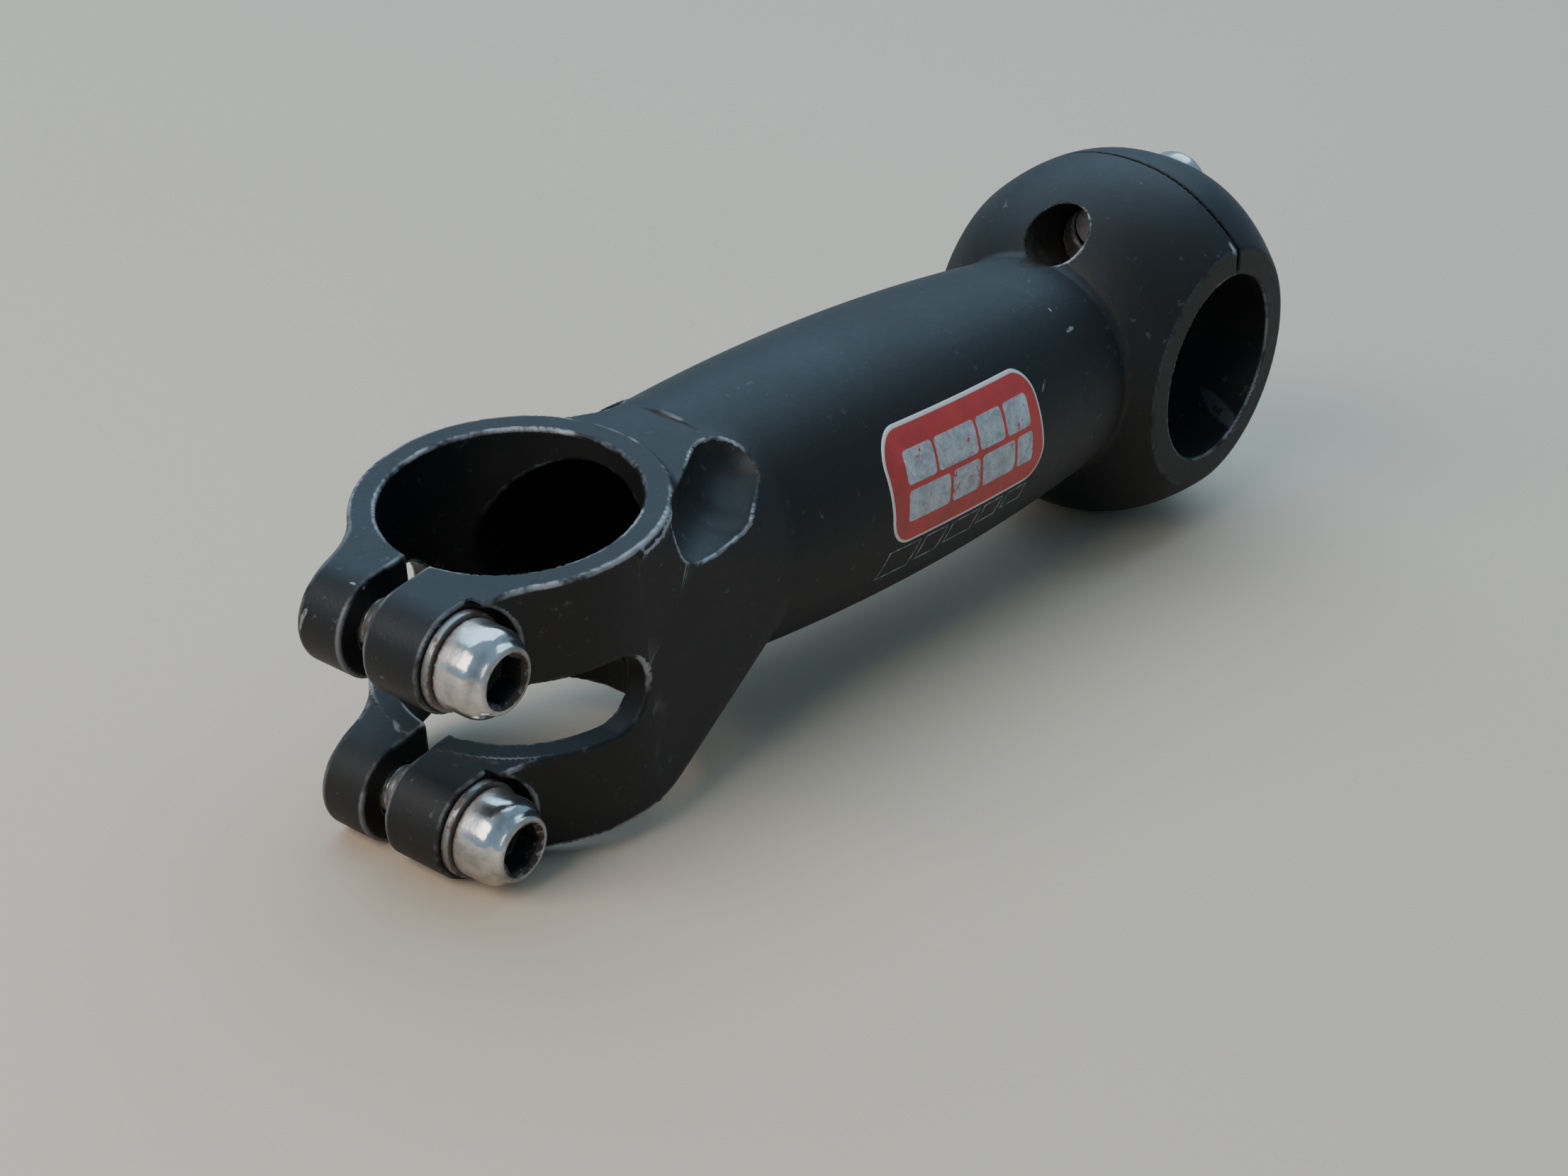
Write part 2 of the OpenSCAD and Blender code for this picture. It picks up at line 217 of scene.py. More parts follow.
def body_material():
    m = Nodes("black_finish")
    broad = m.noise(28, 4, 0.6)
    patch = m.noise(95, 4, 0.65)
    fine = m.noise(620, 3, 0.6)
    grain = m.noise(2600, 2, 0.6)
    edge = m.attribute("edge")
    corner = m.attribute("corner")
    base = m.mix(m.steps(broad, 0.35, 0.68), (0.0040, 0.0045, 0.0058), (0.0085, 0.0075, 0.0068))
    base = m.mix(m.times(m.steps(patch, 0.55, 0.80), 0.5), base, (0.020, 0.016, 0.013))
    dirt = m.times(corner, m.steps(fine, 0.25, 0.65))
    base = m.mix(dirt, base, (0.034, 0.026, 0.019))
    broken = m.math("ADD", m.times(m.steps(patch, 0.38, 0.66), 0.75), m.times(fine, 0.5))
    # The ears are less worn than the ring
    most = m.steps(m.xyz(m.coords())[0], -0.021, -0.011, 0.26, 0.62)
    bare = m.times(m.times(m.steps(edge, 0.15, 0.75), m.steps(broken, 0.28, 0.88)), most)
    specks = m.times(m.times(m.steps(fine, 0.62, 0.76), m.steps(patch, 0.42, 0.60)), 0.13)
    bare = m.math("MAXIMUM", bare, specks)
    # The scuffs are placed through a coordinate that wobbles, so that their outlines are ragged
    rough_place = m.tree.nodes.new("ShaderNodeVectorMath")
    rough_place.operation = "MULTIPLY_ADD"
    m.link(m.noise(700, 2, 0.5, "Color"), rough_place.inputs[0])
    rough_place.inputs[1].default_value = (2 * WOBBLE, 2 * WOBBLE, 2 * WOBBLE)
    m.link(m.coords(), rough_place.inputs[2])
    flaked = m.steps(fine, 0.34, 0.50)
    for a, b, half, strength in SCUFFS:
        ends = lay_down(np.array([a, b], dtype=float)) * MM - WOBBLE
        run = Vector(ends[1] - ends[0])
        local = m.tree.nodes.new("ShaderNodeMapping")
        local.vector_type = "TEXTURE"
        local.inputs["Location"].default_value = (ends[0] + ends[1]) / 2
        local.inputs["Rotation"].default_value = run.to_track_quat("X", "Z").to_euler()
        local.inputs["Scale"].default_value = (run.length / 2 + half * MM, half * MM, half * MM)
        m.link(rough_place.outputs[0], local.inputs["Vector"])
        size = m.tree.nodes.new("ShaderNodeVectorMath")
        size.operation = "LENGTH"
        m.link(local.outputs[0], size.inputs[0])
        spot = m.times(m.steps(size.outputs["Value"], 1.15, 0.75), flaked)
        bare = m.math("MAXIMUM", bare, m.times(spot, strength))
    m.set(Base_Color=m.mix(bare, base, (0.42, 0.42, 0.43)), Metallic=m.times(bare, 0.55),
          Roughness=m.math("ADD", m.steps(broad, 0.3, 0.75, 0.42, 0.52), m.times(fine, 0.10)))
    m.shader.inputs["Specular IOR Level"].default_value = 0.31
    height = m.math("ADD", m.times(grain, 0.8), m.times(fine, 0.8))
    height = m.math("SUBTRACT", height, m.times(bare, 0.8))
    m.bump(height, 0.4, 0.00006)
    return m.material


def screw_material():
    m = Nodes("chrome_screw")
    cloud = m.noise(260, 4, 0.6)
    speck = m.noise(1300, 3, 0.65)
    base = m.mix(m.steps(cloud, 0.35, 0.7), (0.66, 0.655, 0.65), (0.33, 0.315, 0.30))
    # This attribute marks rust and dirt, and where it is near 1 (in the hex socket and under the head) it
    # also stands for painted shade
    grime_and_shade = m.attribute("grime_and_shade")
    rust = m.math("MINIMUM", m.times(grime_and_shade, m.steps(speck, 0.25, 0.60, 0.75, 1.5)), 1.0)
    pits = m.times(m.steps(speck, 0.66, 0.74), m.steps(cloud, 0.48, 0.62))
    rust = m.math("MAXIMUM", rust, m.times(pits, 0.7))
    # Rust-brown stain turns near-black as the attribute nears 1: painted shade in the socket and in the
    # crevice under the head, over real dirt
    stain_and_shade = m.mix(m.steps(grime_and_shade, 0.5, 0.95), (0.085, 0.040, 0.018), (0.014, 0.011, 0.009))
    m.set(Base_Color=m.mix(rust, base, stain_and_shade),
          Metallic=m.math("SUBTRACT", 1.0, m.times(rust, 0.9)),
          Roughness=m.math("ADD", m.steps(cloud, 0.3, 0.75, 0.10, 0.24), m.times(rust, 0.5)))
    m.bump(m.math("ADD", cloud, m.times(speck, 0.3)), 0.35, 0.00016)
    return m.material


def washer_material():
    m = Nodes("dull_washer")
    cloud = m.noise(420, 4, 0.65)
    speck = m.noise(1800, 3, 0.6)
    rust = m.math("MAXIMUM", m.times(m.steps(cloud, 0.48, 0.60), 0.7), m.attribute("grime_and_shade"))
    base = m.mix(speck, (0.16, 0.155, 0.15), (0.30, 0.29, 0.28))
    m.set(Base_Color=m.mix(rust, base, (0.060, 0.020, 0.010)),
          Metallic=m.math("SUBTRACT", 0.9, m.times(rust, 0.8)),
          Roughness=m.math("ADD", 0.38, m.times(rust, 0.4)))
    m.bump(speck, 0.35, 0.00008)
    return m.material


# Blocks of the badge's motif: middle along and up, half length, half height
BLOCK_ROUND = 0.6
MOTIF = ((-10.2, 2.3, 2.9, 1.95), (-2.6, 2.3, 4.2, 1.95), (4.9, 2.3, 2.8, 1.95), (11.0, 2.3, 2.7, 1.95),
         (-8.9, -2.3, 4.2, 1.95), (-1.2, -2.3, 2.9, 1.95), (6.0, -2.3, 3.7, 1.95), (12.1, -2.3, 1.8, 1.95))


def badge_material():
    m = Nodes("printed_badge")
    place = m.xyz(m.attribute("place", "Vector"))
    cloud = m.noise(140, 4, 0.6)
    speck = m.noise(900, 4, 0.7)
    motif = None
    for along, up, half_l, half_h in MOTIF:
        past = []
        for at, centre, half in ((place[0], along, half_l), (place[1], up, half_h)):
            off = m.math("ABSOLUTE", m.math("SUBTRACT", at, centre))
            over = m.math("MAXIMUM", m.math("SUBTRACT", off, half - BLOCK_ROUND), 0.0)
            past.append(m.times(over, over))
        far = m.math("SQRT", m.math("ADD", *past))
        block = m.steps(far, 0.52, 0.68, 1.0, 0.0)
        motif = block if motif is None else m.math("MAXIMUM", motif, block)
    red = m.mix(m.steps(cloud, 0.35, 0.70), (0.50, 0.034, 0.026), (0.36, 0.030, 0.026))
    red = m.mix(m.times(m.steps(speck, 0.58, 0.78), 0.45), red, (0.13, 0.022, 0.020))
    print_grey = m.mix(m.steps(speck, 0.36, 0.66), (0.44, 0.44, 0.44), (0.27, 0.27, 0.29))
    worn = m.times(motif, m.steps(m.noise(380, 5, 0.75), 0.66, 0.60))
    face = m.mix(worn, red, print_grey)
    rim = m.times(m.steps(place[2], 0.42, 0.30), m.steps(speck, 0.80, 0.66))
    m.set(Base_Color=m.mix(rim, face, m.mix(cloud, (0.66, 0.62, 0.60), (0.48, 0.45, 0.44))),
          Roughness=m.math("ADD", 0.34, m.times(speck, 0.22)))
    m.bump(m.math("ADD", m.times(motif, 0.5), m.times(speck, 0.3)), 0.35, 0.00008)
    return m.material


def lines_material():
    m = Nodes("printed_lines")
    speck = m.noise(900, 4, 0.7)
    m.set(Base_Color=m.mix(m.steps(speck, 0.42, 0.58), (0.30, 0.29, 0.28), (0.10, 0.095, 0.09)),
          Roughness=m.steps(speck, 0.3, 0.7, 0.45, 0.6))
    return m.material


def floor_material():
    m = Nodes("pale_floor")
    cloud = m.noise(3, 3, 0.5)
    base = m.mix(m.steps(cloud, 0.3, 0.7), (0.61, 0.475, 0.35), (0.58, 0.45, 0.33))
    m.set(Base_Color=base, Roughness=0.7)
    return m.material


# ---------------------------------------------------------------- distance fields, in the clamp's frame
def join(a, b, r):
    """The union of two shapes, with a fillet of radius r where they meet."""
    low = np.minimum(a, b)
    filleted = np.maximum(r, low) - np.hypot(np.maximum(r - a, 0), np.maximum(r - b, 0))
    return np.where(r > 1e-6, filleted, low)


def meet(a, b, r):
    """What two shapes share, with its edge rounded by r."""
    return -join(-a, -b, r)


def cut(a, b, r):
    return meet(a, -b, r)


def tube_radius(s):
    t = s * CD / 100
    return TUBE_R[0] + TUBE_R[1] * t + TUBE_R[2] * t * t


def neck_planes(count=360, rounds=40):
    """Planes that wrap the neck around the clamp ring and the round end of the tube."""
    r = tube_radius(NECK_LEN) - NECK_INSET
    axis, side, up = np.array([CD, 0, -SD]), np.array([0, 1.0, 0]), np.array([SD, 0, CD])
    centre = np.array([0, 0, RISE]) + (NECK_LEN + 1) * axis
    angle = np.linspace(0, 2 * np.pi, count, endpoint=False)[:, None]
    out = np.cos(angle) * side + np.sin(angle) * up
    rim = centre + r * out
    low, high = np.full((count, 1), -np.pi / 2), np.full((count, 1), np.pi / 2)
    for _ in range(rounds):
        tilt = (low + high) / 2
        n = np.cos(tilt) * out + np.sin(tilt) * axis
        ring = RING_R * np.hypot(n[:, 0], n[:, 1]) + np.maximum(STEP_Z * n[:, 2], -HALF_H * n[:, 2])
        behind = (ring > (n * rim).sum(1))[:, None]
        low, high = np.where(behind, tilt, low), np.where(behind, high, tilt)
    offset = (n * rim).sum(1)
    n = np.vstack([n, [0, 0, 1], axis])
    return n, np.append(offset, [STEP_Z, axis @ centre])


PLANE_N, PLANE_D = neck_planes()


def neck_field(x, y, z):
    """Distance to the neck and the plane normal that it is measured along, where the neck can be."""
    d = np.full(x.shape, NECK_FAR)
    n = np.zeros((x.size, 3))
    near = np.flatnonzero((x > -1) & (x < 36) & (np.abs(y) < 21) & (z < 20) & (z > -22))
    for part in np.array_split(near, max(1, near.size // 20000)):
        p = np.stack([x[part], y[part], z[part]], axis=1)
        all_d = p @ PLANE_N.T - PLANE_D
        best = all_d.argmax(1)
        d[part] = all_d[np.arange(part.size), best]
        n[part] = PLANE_N[best]
    # Behind the planes' first touch the neck is the ring itself
    rr = np.hypot(x, y) + 1e-9
    on_ring = (d < NECK_FAR - 1) & (x < PLANE_N[0, 0] * rr)
    d = np.where(on_ring, np.maximum(rr - RING_R, z - STEP_Z), d)
    n[on_ring] = np.stack([x / rr, y / rr, 0 * x], axis=1)[on_ring]
    return d, n


def ear_plan(x, y, rr):
    right = y < 0
    flat = np.where(right, EAR_RIGHT, EAR_LEFT)
    side = np.abs(y)
    hy = flat + EAR_FILLET
    hx = -np.sqrt((RING_R + EAR_FILLET) ** 2 - hy * hy)
    behind = x * hy - side * hx < 0
    fillet = EAR_FILLET - np.hypot(x - hx, side - hy)
    ear = np.where(x < hx, side - flat, fillet)
    return np.where(behind, ear, rr - RING_R)


def body_field(p):
    x, y, z = p[:, 0], p[:, 1], p[:, 2]
    rr = np.hypot(x, y) + 1e-9
    side = np.abs(y)
    # Clamp ring and ears
    ring = meet(rr - RING_R, np.abs(z) - HALF_H, 0.4)
    dz = np.abs(np.abs(z) - SCREW_Z)
    arm = np.where(x < SCREW_X, np.hypot(x - SCREW_X, dz), dz) - EAR_R
    body = np.minimum(ring, meet(ear_plan(x, y, rr), arm, np.where(y > 0, 0.9, 0.45)))
    # Neck, with the step around the ring
    neck, n = neck_field(x, y, z)
    same = (n[:, 0] * x + n[:, 1] * y) / rr
    body = join(body, neck, 2.0 * np.clip(1 - same, 0, 1))
    # Tube
    s, t = turned(x, z - RISE, DROP)
    rad = np.hypot(t, y) + 1e-9
    slope = (TUBE_R[1] + 2 * TUBE_R[2] * s * CD / 100) * CD / 100
    tube = (rad - tube_radius(s)) / np.hypot(1, slope)
    tube = meet(meet(tube, TUBE_START - s, 0.25), s - REACH / CD, 0.1)
    body = join(body, tube, 0.25)
    body = cut(body, np.maximum(x - NECK_LEN, z + HALF_H), 0.35)
    # Barrel
    bx, bz = x - BAR_X, z - BAR_Z
    br = np.hypot(bx, bz) + 1e-9
    u = np.minimum(side, HALF_W) / HALF_W
    fall = (HEAD_R - HEAD_END) * HEAD_POWER / HALF_W * u ** (HEAD_POWER - 1)
    size = np.hypot(1, fall)
    barrel = (br - HEAD_R + (HEAD_R - HEAD_END) * u ** HEAD_POWER) / size
    dot = (t / rad * (SD * bx + CD * bz) / br + side / rad * fall) / size
    soft = 2.2 * np.clip(1 - dot, 0, 1) * np.clip((HALF_W - side) / 5, 0, 1)
    body = join(body, barrel, soft)
    body = meet(body, np.where(x > BARREL_FROM, side - HALF_W, DEEP), 0.3)
    # Cuts in the clamp
    scallop = FAR
    for start, end in zip(SCALLOP_PATH, SCALLOP_PATH[1:]):
        run = np.subtract(end, start)
        q = np.stack([x, side, z], axis=1) - start
        k = np.clip(q @ run / (run @ run), 0, 1)
        scallop = join(scallop, np.linalg.norm(q - k[:, None] * run, axis=1) - SCALLOP_R, 0.3)
    body = cut(body, scallop, 0.15)
    tip = x - WINDOW_TIP + WINDOW_R
    window = np.where(tip > 0, np.hypot(tip, z), np.abs(z)) - WINDOW_R
    body = cut(body, window, 0.4)
    body = cut(body, np.maximum(side - SLIT_HALF, x), 0.3)
    body = cut(body, np.maximum(np.maximum(rad - HOLLOW_R, -s), s - HOLLOW_STOP), 0.2)
    body = cut(body, rr - BORE_R, 0.35)
    screw = np.hypot(x - SCREW_X, np.abs(z) - SCREW_Z)
    body = cut(body, screw - np.where(y < 0, CLEAR_R, TAPPED_R), 0.2)
    body = cut(body, np.maximum(screw - SPOT_R, y + SEAT_Y), 0.25)
    # Cuts in the handlebar clamp
    body = cut(body, np.maximum(br - BAR_BORE, BAR_SIDE - x), 0.35)
    body = cut(body, np.maximum(np.abs(bx - HEAD_SLIT_X) - HEAD_SLIT_HALF, -bz), 0.08)
    along, over = turned(bx, bz, BAR_ANGLE)
    screw = np.hypot(over - BAR_UP, y)
    hole = np.where(along > 0, screw - CLEAR_R, np.maximum(screw - TAPPED_R, BAR_TAP_END - along))
    body = cut(body, np.maximum(hole, BAR_SIDE - x), 0.15)
    body = cut(body, np.maximum(screw - POCKET_R, BAR_SEAT - along), 0.3)
    along, over = turned(bx, bz, RELIEF_ANGLE)
    relief = np.maximum(np.hypot(over - RELIEF_UP, y) - RELIEF_R, along + RELIEF_FLOOR)
    return cut(body, np.maximum(relief, BAR_SIDE - x), 0.3)


def in_chunks(points, size=150000):
    out = np.empty(len(points))
    for i in range(0, len(points), size):
        out[i:i + size] = body_field(points[i:i + size])
    return out


def gradient(points, h=0.04):
    g = np.empty_like(points)
    for i in range(3):
        step = np.zeros(3)
        step[i] = h
        g[:, i] = (in_chunks(points + step) - in_chunks(points - step)) / (2 * h)
    return g


def surface_net(low, high, step, block=8):
    """Quads around the zero level of body_field, from a grid that is filled only near the surface."""
    count = np.ceil((np.array(high) - low) / step / block).astype(int) * block
    grid = np.full(count + 1, 9.0, dtype=np.float32)
    mids = [low[i] + step * block * (np.arange(count[i] // block) + 0.5) for i in range(3)]
    mid = np.stack(np.meshgrid(*mids, indexing="ij"), axis=-1)
    coarse = in_chunks(mid.reshape(-1, 3)).reshape(mid.shape[:3])
    reach = step * block * math.sqrt(3) / 2 * 1.15 + 0.6
    inside = np.repeat(np.repeat(np.repeat(coarse, block, 0), block, 1), block, 2)
    grid[:-1, :-1, :-1] = inside
    near = np.argwhere(np.abs(coarse) < reach)
    local = np.stack(np.meshgrid(*[np.arange(block + 1)] * 3, indexing="ij"), axis=-1).reshape(-1, 3)
    for part in np.array_split(near, max(1, len(near) // 200)):
        index = (part[:, None, :] * block + local).reshape(-1, 3)
        points = np.array(low) + step * index
        grid[index[:, 0], index[:, 1], index[:, 2]] = body_field(points)
    sign = grid < 0
    total = np.zeros([n - 1 for n in grid.shape], dtype=np.int8)
    size = np.array(total.shape)
    for a, b, c in np.ndindex(2, 2, 2):
        total += sign[a:a + size[0], b:b + size[1], c:c + size[2]]
    cells = np.argwhere((total > 0) & (total < 8))
    number = np.full(total.shape, -1, dtype=np.int32)
    number[cells[:, 0], cells[:, 1], cells[:, 2]] = np.arange(len(cells))
    sums, hits = np.zeros((len(cells), 3)), np.zeros(len(cells))
    for axis in range(3):
        other = [i for i in range(3) if i != axis]
        for a in (0, 1):
            for b in (0, 1):
                start = np.zeros(3, dtype=int)
                start[other[0]], start[other[1]] = a, b
                end = start.copy()
                end[axis] = 1
                d0 = grid[tuple((cells + start).T)]
                d1 = grid[tuple((cells + end).T)]
                hit = (d0 < 0) != (d1 < 0)
                k = np.where(hit, d0 / np.where(hit, d0 - d1, 1), 0)
                sums += np.where(hit[:, None], start + k[:, None] * (end - start), 0)
                hits += hit
    verts = np.array(low) + step * (cells + sums / hits[:, None])
    quads = []
    for axis in range(3):
        o1, o2 = (axis + 1) % 3, (axis + 2) % 3
        a = sign.take(range(0, sign.shape[axis] - 1), axis)
        b = sign.take(range(1, sign.shape[axis]), axis)
        at = np.argwhere(a != b)
        inner = (at[:, o1] > 0) & (at[:, o2] > 0) & (at[:, o1] < size[o1]) & (at[:, o2] < size[o2])
        at = at[inner]
        solid = a[tuple(at.T)]
        ring = []
        for da, db in ((0, 0), (1, 0), (1, 1), (0, 1)):
            cell = at.copy()
            cell[:, o1] -= da
            cell[:, o2] -= db
            ring.append(number[tuple(cell.T)])
        ring = np.stack(ring, axis=1)
        quads.append(np.where(solid[:, None], ring, ring[:, ::-1]))
    return verts, np.vstack(quads)


def to_mesh(name, verts, faces):
    """A mesh from faces that all have the same number of corners, or from a list of faces."""
    mesh = bpy.data.meshes.new(name)
    if isinstance(faces, np.ndarray):
        n = faces.shape[1]
        mesh.vertices.add(len(verts))
        mesh.vertices.foreach_set("co", verts.astype(np.float32).ravel())
        mesh.loops.add(faces.size)
        mesh.loops.foreach_set("vertex_index", faces.astype(np.int32).ravel())
        mesh.polygons.add(len(faces))
        mesh.polygons.foreach_set("loop_start", np.arange(0, faces.size, n, dtype=np.int32))
        mesh.update(calc_edges=True)
        mesh.validate()
    else:
        mesh.from_pydata([tuple(v) for v in verts], [], faces)
        mesh.validate()
    mesh.shade_smooth()
    return mesh


def settle(points, rounds):
    """Moves points onto the surface of body_field, by at most 0.25 mm a round."""
    for _ in range(rounds):
        d = in_chunks(points)
        g = gradient(points)
        step = g * (d / np.maximum((g * g).sum(1), 0.2))[:, None]
        length = np.linalg.norm(step, axis=1, keepdims=True)
        points = points - step * np.minimum(1, 0.25 / np.maximum(length, 1e-9))
    return points


def bending(points, normal, h):
    """How far the surface falls away beside each point: above zero on an edge, below zero in a corner."""
    normal = normal / np.linalg.norm(normal, axis=1, keepdims=True)
    helper = np.where(np.abs(normal[:, :1]) > 0.7, [[0, 1.0, 0]], [[1.0, 0, 0]])
    t1 = np.cross(normal, helper)
    t1 /= np.linalg.norm(t1, axis=1, keepdims=True)
    t2 = np.cross(normal, t1)
    return sum(in_chunks(points + h * k * t) for k in (-1, 1) for t in (t1, t2)) / (4 * h)


def add_attribute(mesh, name, values):
    kind = "FLOAT" if values.ndim == 1 else "FLOAT_VECTOR"
    layer = mesh.attributes.new(name, kind, "POINT")
    layer.data.foreach_set("value" if values.ndim == 1 else "vector", values.astype(np.float32).ravel())


def build_body():
    low, high = (-26.0, -18.9, -44.3), (146.4, 18.9, 18.0)
    verts, quads = surface_net(low, high, NET_STEP)
    verts = settle(verts, 2)
    mesh = to_mesh("stem_body_skin", verts, quads)
    obj = add("stem_body_skin", mesh)
    # Only where the surface is flat are its triangles merged
    flat = obj.vertex_groups.new(name="flat")
    level = np.abs(bending(verts, gradient(verts), 1.1)) < 0.045
    flat.add(np.flatnonzero(level).tolist(), 1.0, "REPLACE")
    modifier = obj.modifiers.new("decimate", "DECIMATE")
    modifier.ratio = min(1.0, TRIANGLES / (2 * len(quads)))
    modifier.vertex_group = "flat"
    modifier.vertex_group_factor = 10
    bpy.context.view_layer.update()
    final = bpy.data.meshes.new_from_object(obj.evaluated_get(bpy.context.evaluated_depsgraph_get()))
    obj.modifiers.clear()
    obj.data = final
    bpy.data.meshes.remove(mesh)
    final.name = "stem_body_skin"
    points = np.empty(len(final.vertices) * 3, dtype=np.float32)
    final.vertices.foreach_get("co", points)
    points = settle(points.reshape(-1, 3).astype(float), 1)
    normal = gradient(points)
    normal /= np.linalg.norm(normal, axis=1, keepdims=True)
    bend = bending(points, normal, 0.4)
    # Less wear beside the barrel's slit and rims, and dirt on the relief hole's floor
    x, y, z = points.T
    from_slit = np.abs(x - BAR_X - HEAD_SLIT_X)
    above_bore = (x > BARREL_FROM) & (z > BAR_Z + BAR_BORE + 0.6)
    fade = np.where(above_bore, np.clip(from_slit - 0.8, 0.05, 1), 1)
    fade = fade * np.where((x > 100) & (np.abs(y) > 16.5), 0.6, 1)
    along, over = turned(x - BAR_X, z - BAR_Z, RELIEF_ANGLE)
    in_relief = (np.hypot(over - RELIEF_UP, y) < RELIEF_R + 0.05) & (along < -RELIEF_FLOOR + 0.1)
    in_relief &= x > BARREL_FROM
    add_attribute(final, "edge", np.clip(bend * 5, 0, 1) * fade)
    add_attribute(final, "corner", np.maximum(np.clip(-bend * 5, 0, 1) * fade, 0.9 * in_relief))
    final.vertices.foreach_set("co", (lay_down(points) * MM).astype(np.float32).ravel())
    final.update()
    final.shade_smooth()
    final.normals_split_custom_set_from_vertices([tuple(n) for n in lay_down(normal)])
    final.materials.append(body_material())
    return obj


# ---------------------------------------------------------------- screws, washers
def grid_faces(rows, columns, base=0):
    a = np.arange(rows - 1)[:, None] * columns
    b = np.arange(columns)[None, :]
    c = (b + 1) % columns
    return (np.stack([a + b, a + c, a + columns + c, a + columns + b], axis=-1) + base).reshape(-1, 4)


def close_end(faces, first, columns, apex, flip):
    for i in range(columns):
        edge = [first + i, first + (i + 1) % columns]
        faces.append([apex, *(edge[::-1] if flip else edge)])


THREAD_TOP, THREAD_STEP = -1.5, 0.1
# Radius, height and dirt of the head's rings, below and above its dome; dirt of 1.0 under the head is rust
# plus painted shade in the crevice against the washer
SHANK_RINGS = ((SHANK_R, -1.4, 0.35), (SHANK_R, -0.1, 0.35), (3.1, 0.0, 0.35))
HEAD_RINGS = ((4.6, 0.0, 1.0), (4.85, 0.05, 1.0), (4.97, 0.2, 0.9), (HEAD_OUT_R, 0.45, 0.55),
              (HEAD_OUT_R, 0.9, 0.3), (HEAD_OUT_R, 2.0, 0.1), (HEAD_OUT_R, 2.9, 0.05))
DOME_R, DOME_START, DOME_H = 2.2, 3.0, 2.352
TOP_RINGS = ((3.86, 5.48, 0.05), (3.76, 5.66, 0.1), (3.66, 5.80, 0.2), (3.52, 5.87, 0.25),
             (3.36, HEAD_OUT_H, 0.3))


def circle(radius, height):
    return np.stack([radius * np.cos(ANGLE), radius * np.sin(ANGLE), height + 0 * ANGLE], axis=1)


def socket_screw():
    """Rings from the shank's tip up the thread, over the head and down into the hexagon socket."""
    rings, grime_and_shade = [], []

    def ring(radius, height, dirt):
        rings.append(circle(radius, height))
        grime_and_shade.append(np.full(SEGMENTS, dirt))

    ring(2.1, -SCREW_LENGTH, 0.4)
    for z in np.arange(-SCREW_LENGTH + THREAD_STEP, THREAD_TOP, THREAD_STEP):
        phase = (z - ANGLE / (2 * np.pi)) % 1.0
        crest = np.clip(1.3 * np.abs(2 * phase - 1) - 0.12, 0, 1)
        run_out = np.clip((THREAD_TOP - z) / 0.8, 0, 1)
        taper = np.clip(0.4 + np.clip(z + SCREW_LENGTH, 0, 1) * run_out, 0, 1)
        ring(2.42 + 0.56 * (1 - (1 - crest) * run_out) * taper, z, 0.35)
    for radius, z, dirt in SHANK_RINGS + HEAD_RINGS:
        ring(radius, z, dirt)
    for a in np.radians(np.arange(8, 57, 8)):
        ring(HEAD_OUT_R - DOME_R + DOME_R * math.cos(a), DOME_START + DOME_H * math.sin(a), 0.04)
    for radius, z, dirt in TOP_RINGS:
        ring(radius, z, dirt)
    hexagon = SOCKET_AF / 2 / np.cos((ANGLE % (np.pi / 3)) - np.pi / 6)
    # Dirt inside the hex socket and on its chamfer is real dirt plus painted shade: it colours the hollow
    # near-black so the opening reads dark
    socket_rings = ((3.2, 0, 0.4), (3.12, 0.05, 0.75), (hexagon + 0.02, 0.45, 0.9), (hexagon, 0.6, 1.0),
                    (hexagon, 0.9, 1.0), (hexagon, SOCKET_DEPTH - 0.1, 1.0),
                    (hexagon - 0.1, SOCKET_DEPTH, 1.0), (1.2, SOCKET_DEPTH + 0.5, 1.0))
    for radius, below, dirt in socket_rings:
        ring(radius, HEAD_OUT_H - below, dirt)
    ends = [[0, 0, -SCREW_LENGTH]], [[0, 0, HEAD_OUT_H - SOCKET_DEPTH - 0.9]]
    verts = np.vstack([*rings, *ends])
    faces = grid_faces(len(rings), SEGMENTS).tolist()
    close_end(faces, 0, SEGMENTS, len(verts) - 2, True)
    close_end(faces, (len(rings) - 1) * SEGMENTS, SEGMENTS, len(verts) - 1, False)
    return verts, faces, np.concatenate(grime_and_shade + [[0.4], [1.0]])


def washer(edge=0.16):
    profile = []
    for cr, cz, a0 in ((WASHER_R - edge, edge, -90), (WASHER_R - edge, WASHER_T - edge, 0),
                       (WASHER_BORE_R + edge, WASHER_T - edge, 90), (WASHER_BORE_R + edge, edge, 180)):
        for a in np.radians(np.arange(a0, a0 + 91, 30)):
            profile.append((cr + edge * math.cos(a), cz + edge * math.sin(a)))
    verts = np.vstack([circle(r, z) for r, z in profile])
    last = (len(profile) - 1) * SEGMENTS
    i = np.arange(SEGMENTS)
    j = (i + 1) % SEGMENTS
    closing = np.stack([last + i, last + j, j, i], axis=1)
    faces = np.vstack([grid_faces(len(profile), SEGMENTS), closing])
    rust = np.clip((WASHER_R - 0.1 - np.hypot(verts[:, 0], verts[:, 1])) / 0.2, 0, 1)
    return verts, faces.tolist(), rust


def along_clamp_screw(points, side, out):
    x, y, z = points[:, 0], points[:, 1], points[:, 2] + out
    return np.stack([SCREW_X + x, -z, side * SCREW_Z + y], axis=1)


def along_bar_screw(points, out):
    x, y, z = points[:, 0], points[:, 1], points[:, 2] + out
    ahead, over = turned(z, BAR_UP - x, -BAR_ANGLE)
    return np.stack([BAR_X + ahead, y, BAR_Z + over], axis=1)


def finish_piece(obj, node, body):
    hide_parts(node)
    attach(obj, body)


